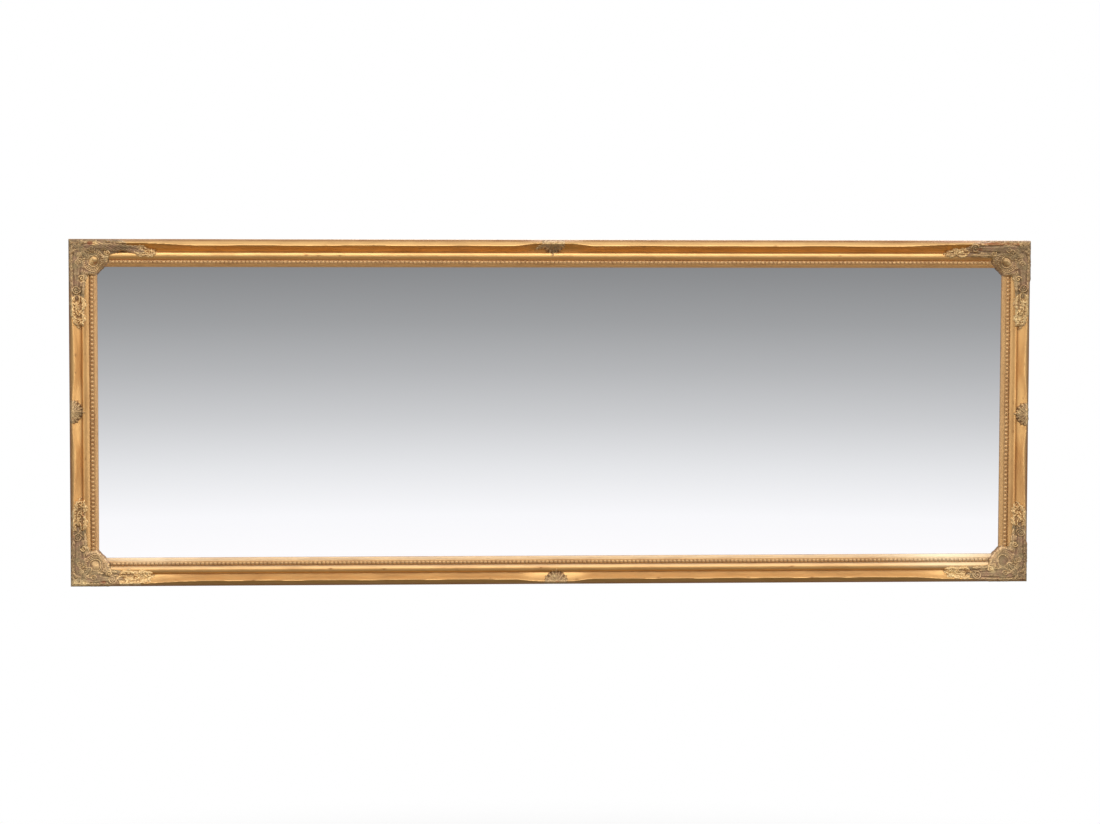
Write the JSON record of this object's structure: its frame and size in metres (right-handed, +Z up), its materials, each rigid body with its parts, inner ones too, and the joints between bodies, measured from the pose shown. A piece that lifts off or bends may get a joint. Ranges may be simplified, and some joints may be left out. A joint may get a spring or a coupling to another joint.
{
  "type": "pier mirror",
  "caption": "Long landscape pier mirror in a swept gilt moulding with a bead row, leaf and boss corners and centre sprays, hung on two D rings.",
  "frame": {"origin": "on the wall plane, midway between the two wall hooks that the D rings hang on", "axes": "+X along the length to the viewer's right, +Z up, -Y out of the wall towards the viewer"},
  "size_m": [1.6, 0.0414, 0.574],
  "materials": {
    "gilt_moulding": "water gilding over red bole on gesso and wood, rubbed and toned",
    "gilt_beading": "gilded pressed composition beads, toned in the gaps",
    "antique_gilt_ornament": "cast composition with rubbed gilding under an olive brown patina",
    "mirror_plate": "silvered float glass, 4 mm",
    "softwood": "sawn slips",
    "backing_paper": "brown kraft paper",
    "plywood": "thin birch plywood, sanded",
    "steel": "bright steel",
    "steel_wire": "nickel plated steel wire",
    "brass": "rolled brass sheet, dulled",
    "felt_bumper": "pressed wool felt"
  },
  "bodies": {
    "frame": {"top_rail": "gilt_moulding", "bottom_rail": "gilt_moulding", "left_stile": "gilt_moulding", "right_stile": "gilt_moulding", "top_beading": "gilt_beading", "bottom_beading": "gilt_beading", "left_beading": "gilt_beading", "right_beading": "gilt_beading", "corner_top_left": "antique_gilt_ornament", "corner_top_right": "antique_gilt_ornament", "corner_bottom_left": "antique_gilt_ornament", "corner_bottom_right": "antique_gilt_ornament", "centre_top": "antique_gilt_ornament", "centre_bottom": "antique_gilt_ornament", "centre_left": "antique_gilt_ornament", "centre_right": "antique_gilt_ornament", "mirror_plate": "mirror_plate", "spacer_slips": "softwood", "backing_paper": "backing_paper", "backboard": "plywood", "mitre_nails": "steel", "button_screws": "brass", "strap_left": "brass", "strap_right": "brass", "strap_screws": "steel", "wall_bumpers": "felt_bumper"},
    "button_top_1": {"button_top_1": "brass"},
    "button_top_2": {"button_top_2": "brass"},
    "button_top_3": {"button_top_3": "brass"},
    "button_bottom_1": {"button_bottom_1": "brass"},
    "button_bottom_2": {"button_bottom_2": "brass"},
    "button_bottom_3": {"button_bottom_3": "brass"},
    "button_left_1": {"button_left_1": "brass"},
    "button_left_2": {"button_left_2": "brass"},
    "button_right_1": {"button_right_1": "brass"},
    "button_right_2": {"button_right_2": "brass"},
    "ring_left": {"ring_left": "steel_wire"},
    "ring_right": {"ring_right": "steel_wire"}
  },
  "joints": [
    {"name": "button_top_1_turn", "type": "hinge", "parent": "frame", "child": "button_top_1", "pos_m": [-0.50533, -0.00552, 0.0834], "axis": [0, 1, 0], "range_deg": [-90, 90]},
    {"name": "button_top_2_turn", "type": "hinge", "parent": "frame", "child": "button_top_2", "pos_m": [0, -0.00552, 0.0834], "axis": [0, 1, 0], "range_deg": [-90, 90]},
    {"name": "button_top_3_turn", "type": "hinge", "parent": "frame", "child": "button_top_3", "pos_m": [0.50533, -0.00552, 0.0834], "axis": [0, 1, 0], "range_deg": [-90, 90]},
    {"name": "button_bottom_1_turn", "type": "hinge", "parent": "frame", "child": "button_bottom_1", "pos_m": [-0.50533, -0.00552, -0.4174], "axis": [0, 1, 0], "range_deg": [-90, 90]},
    {"name": "button_bottom_2_turn", "type": "hinge", "parent": "frame", "child": "button_bottom_2", "pos_m": [0, -0.00552, -0.4174], "axis": [0, 1, 0], "range_deg": [-90, 90]},
    {"name": "button_bottom_3_turn", "type": "hinge", "parent": "frame", "child": "button_bottom_3", "pos_m": [0.50533, -0.00552, -0.4174], "axis": [0, 1, 0], "range_deg": [-90, 90]},
    {"name": "button_left_1_turn", "type": "hinge", "parent": "frame", "child": "button_left_1", "pos_m": [-0.7634, -0.00552, -0.0445], "axis": [0, 1, 0], "range_deg": [-90, 90]},
    {"name": "button_left_2_turn", "type": "hinge", "parent": "frame", "child": "button_left_2", "pos_m": [-0.7634, -0.00552, -0.2895], "axis": [0, 1, 0], "range_deg": [-90, 90]},
    {"name": "button_right_1_turn", "type": "hinge", "parent": "frame", "child": "button_right_1", "pos_m": [0.7634, -0.00552, -0.0445], "axis": [0, 1, 0], "range_deg": [-90, 90]},
    {"name": "button_right_2_turn", "type": "hinge", "parent": "frame", "child": "button_right_2", "pos_m": [0.7634, -0.00552, -0.2895], "axis": [0, 1, 0], "range_deg": [-90, 90]},
    {"name": "ring_left_swing", "type": "hinge", "parent": "frame", "child": "ring_left", "pos_m": [-0.78, -0.00296, -0.02275], "axis": [1, 0, 0], "range_deg": [0, 180]},
    {"name": "ring_right_swing", "type": "hinge", "parent": "frame", "child": "ring_right", "pos_m": [0.78, -0.00296, -0.02275], "axis": [1, 0, 0], "range_deg": [0, 180]}
  ]
}
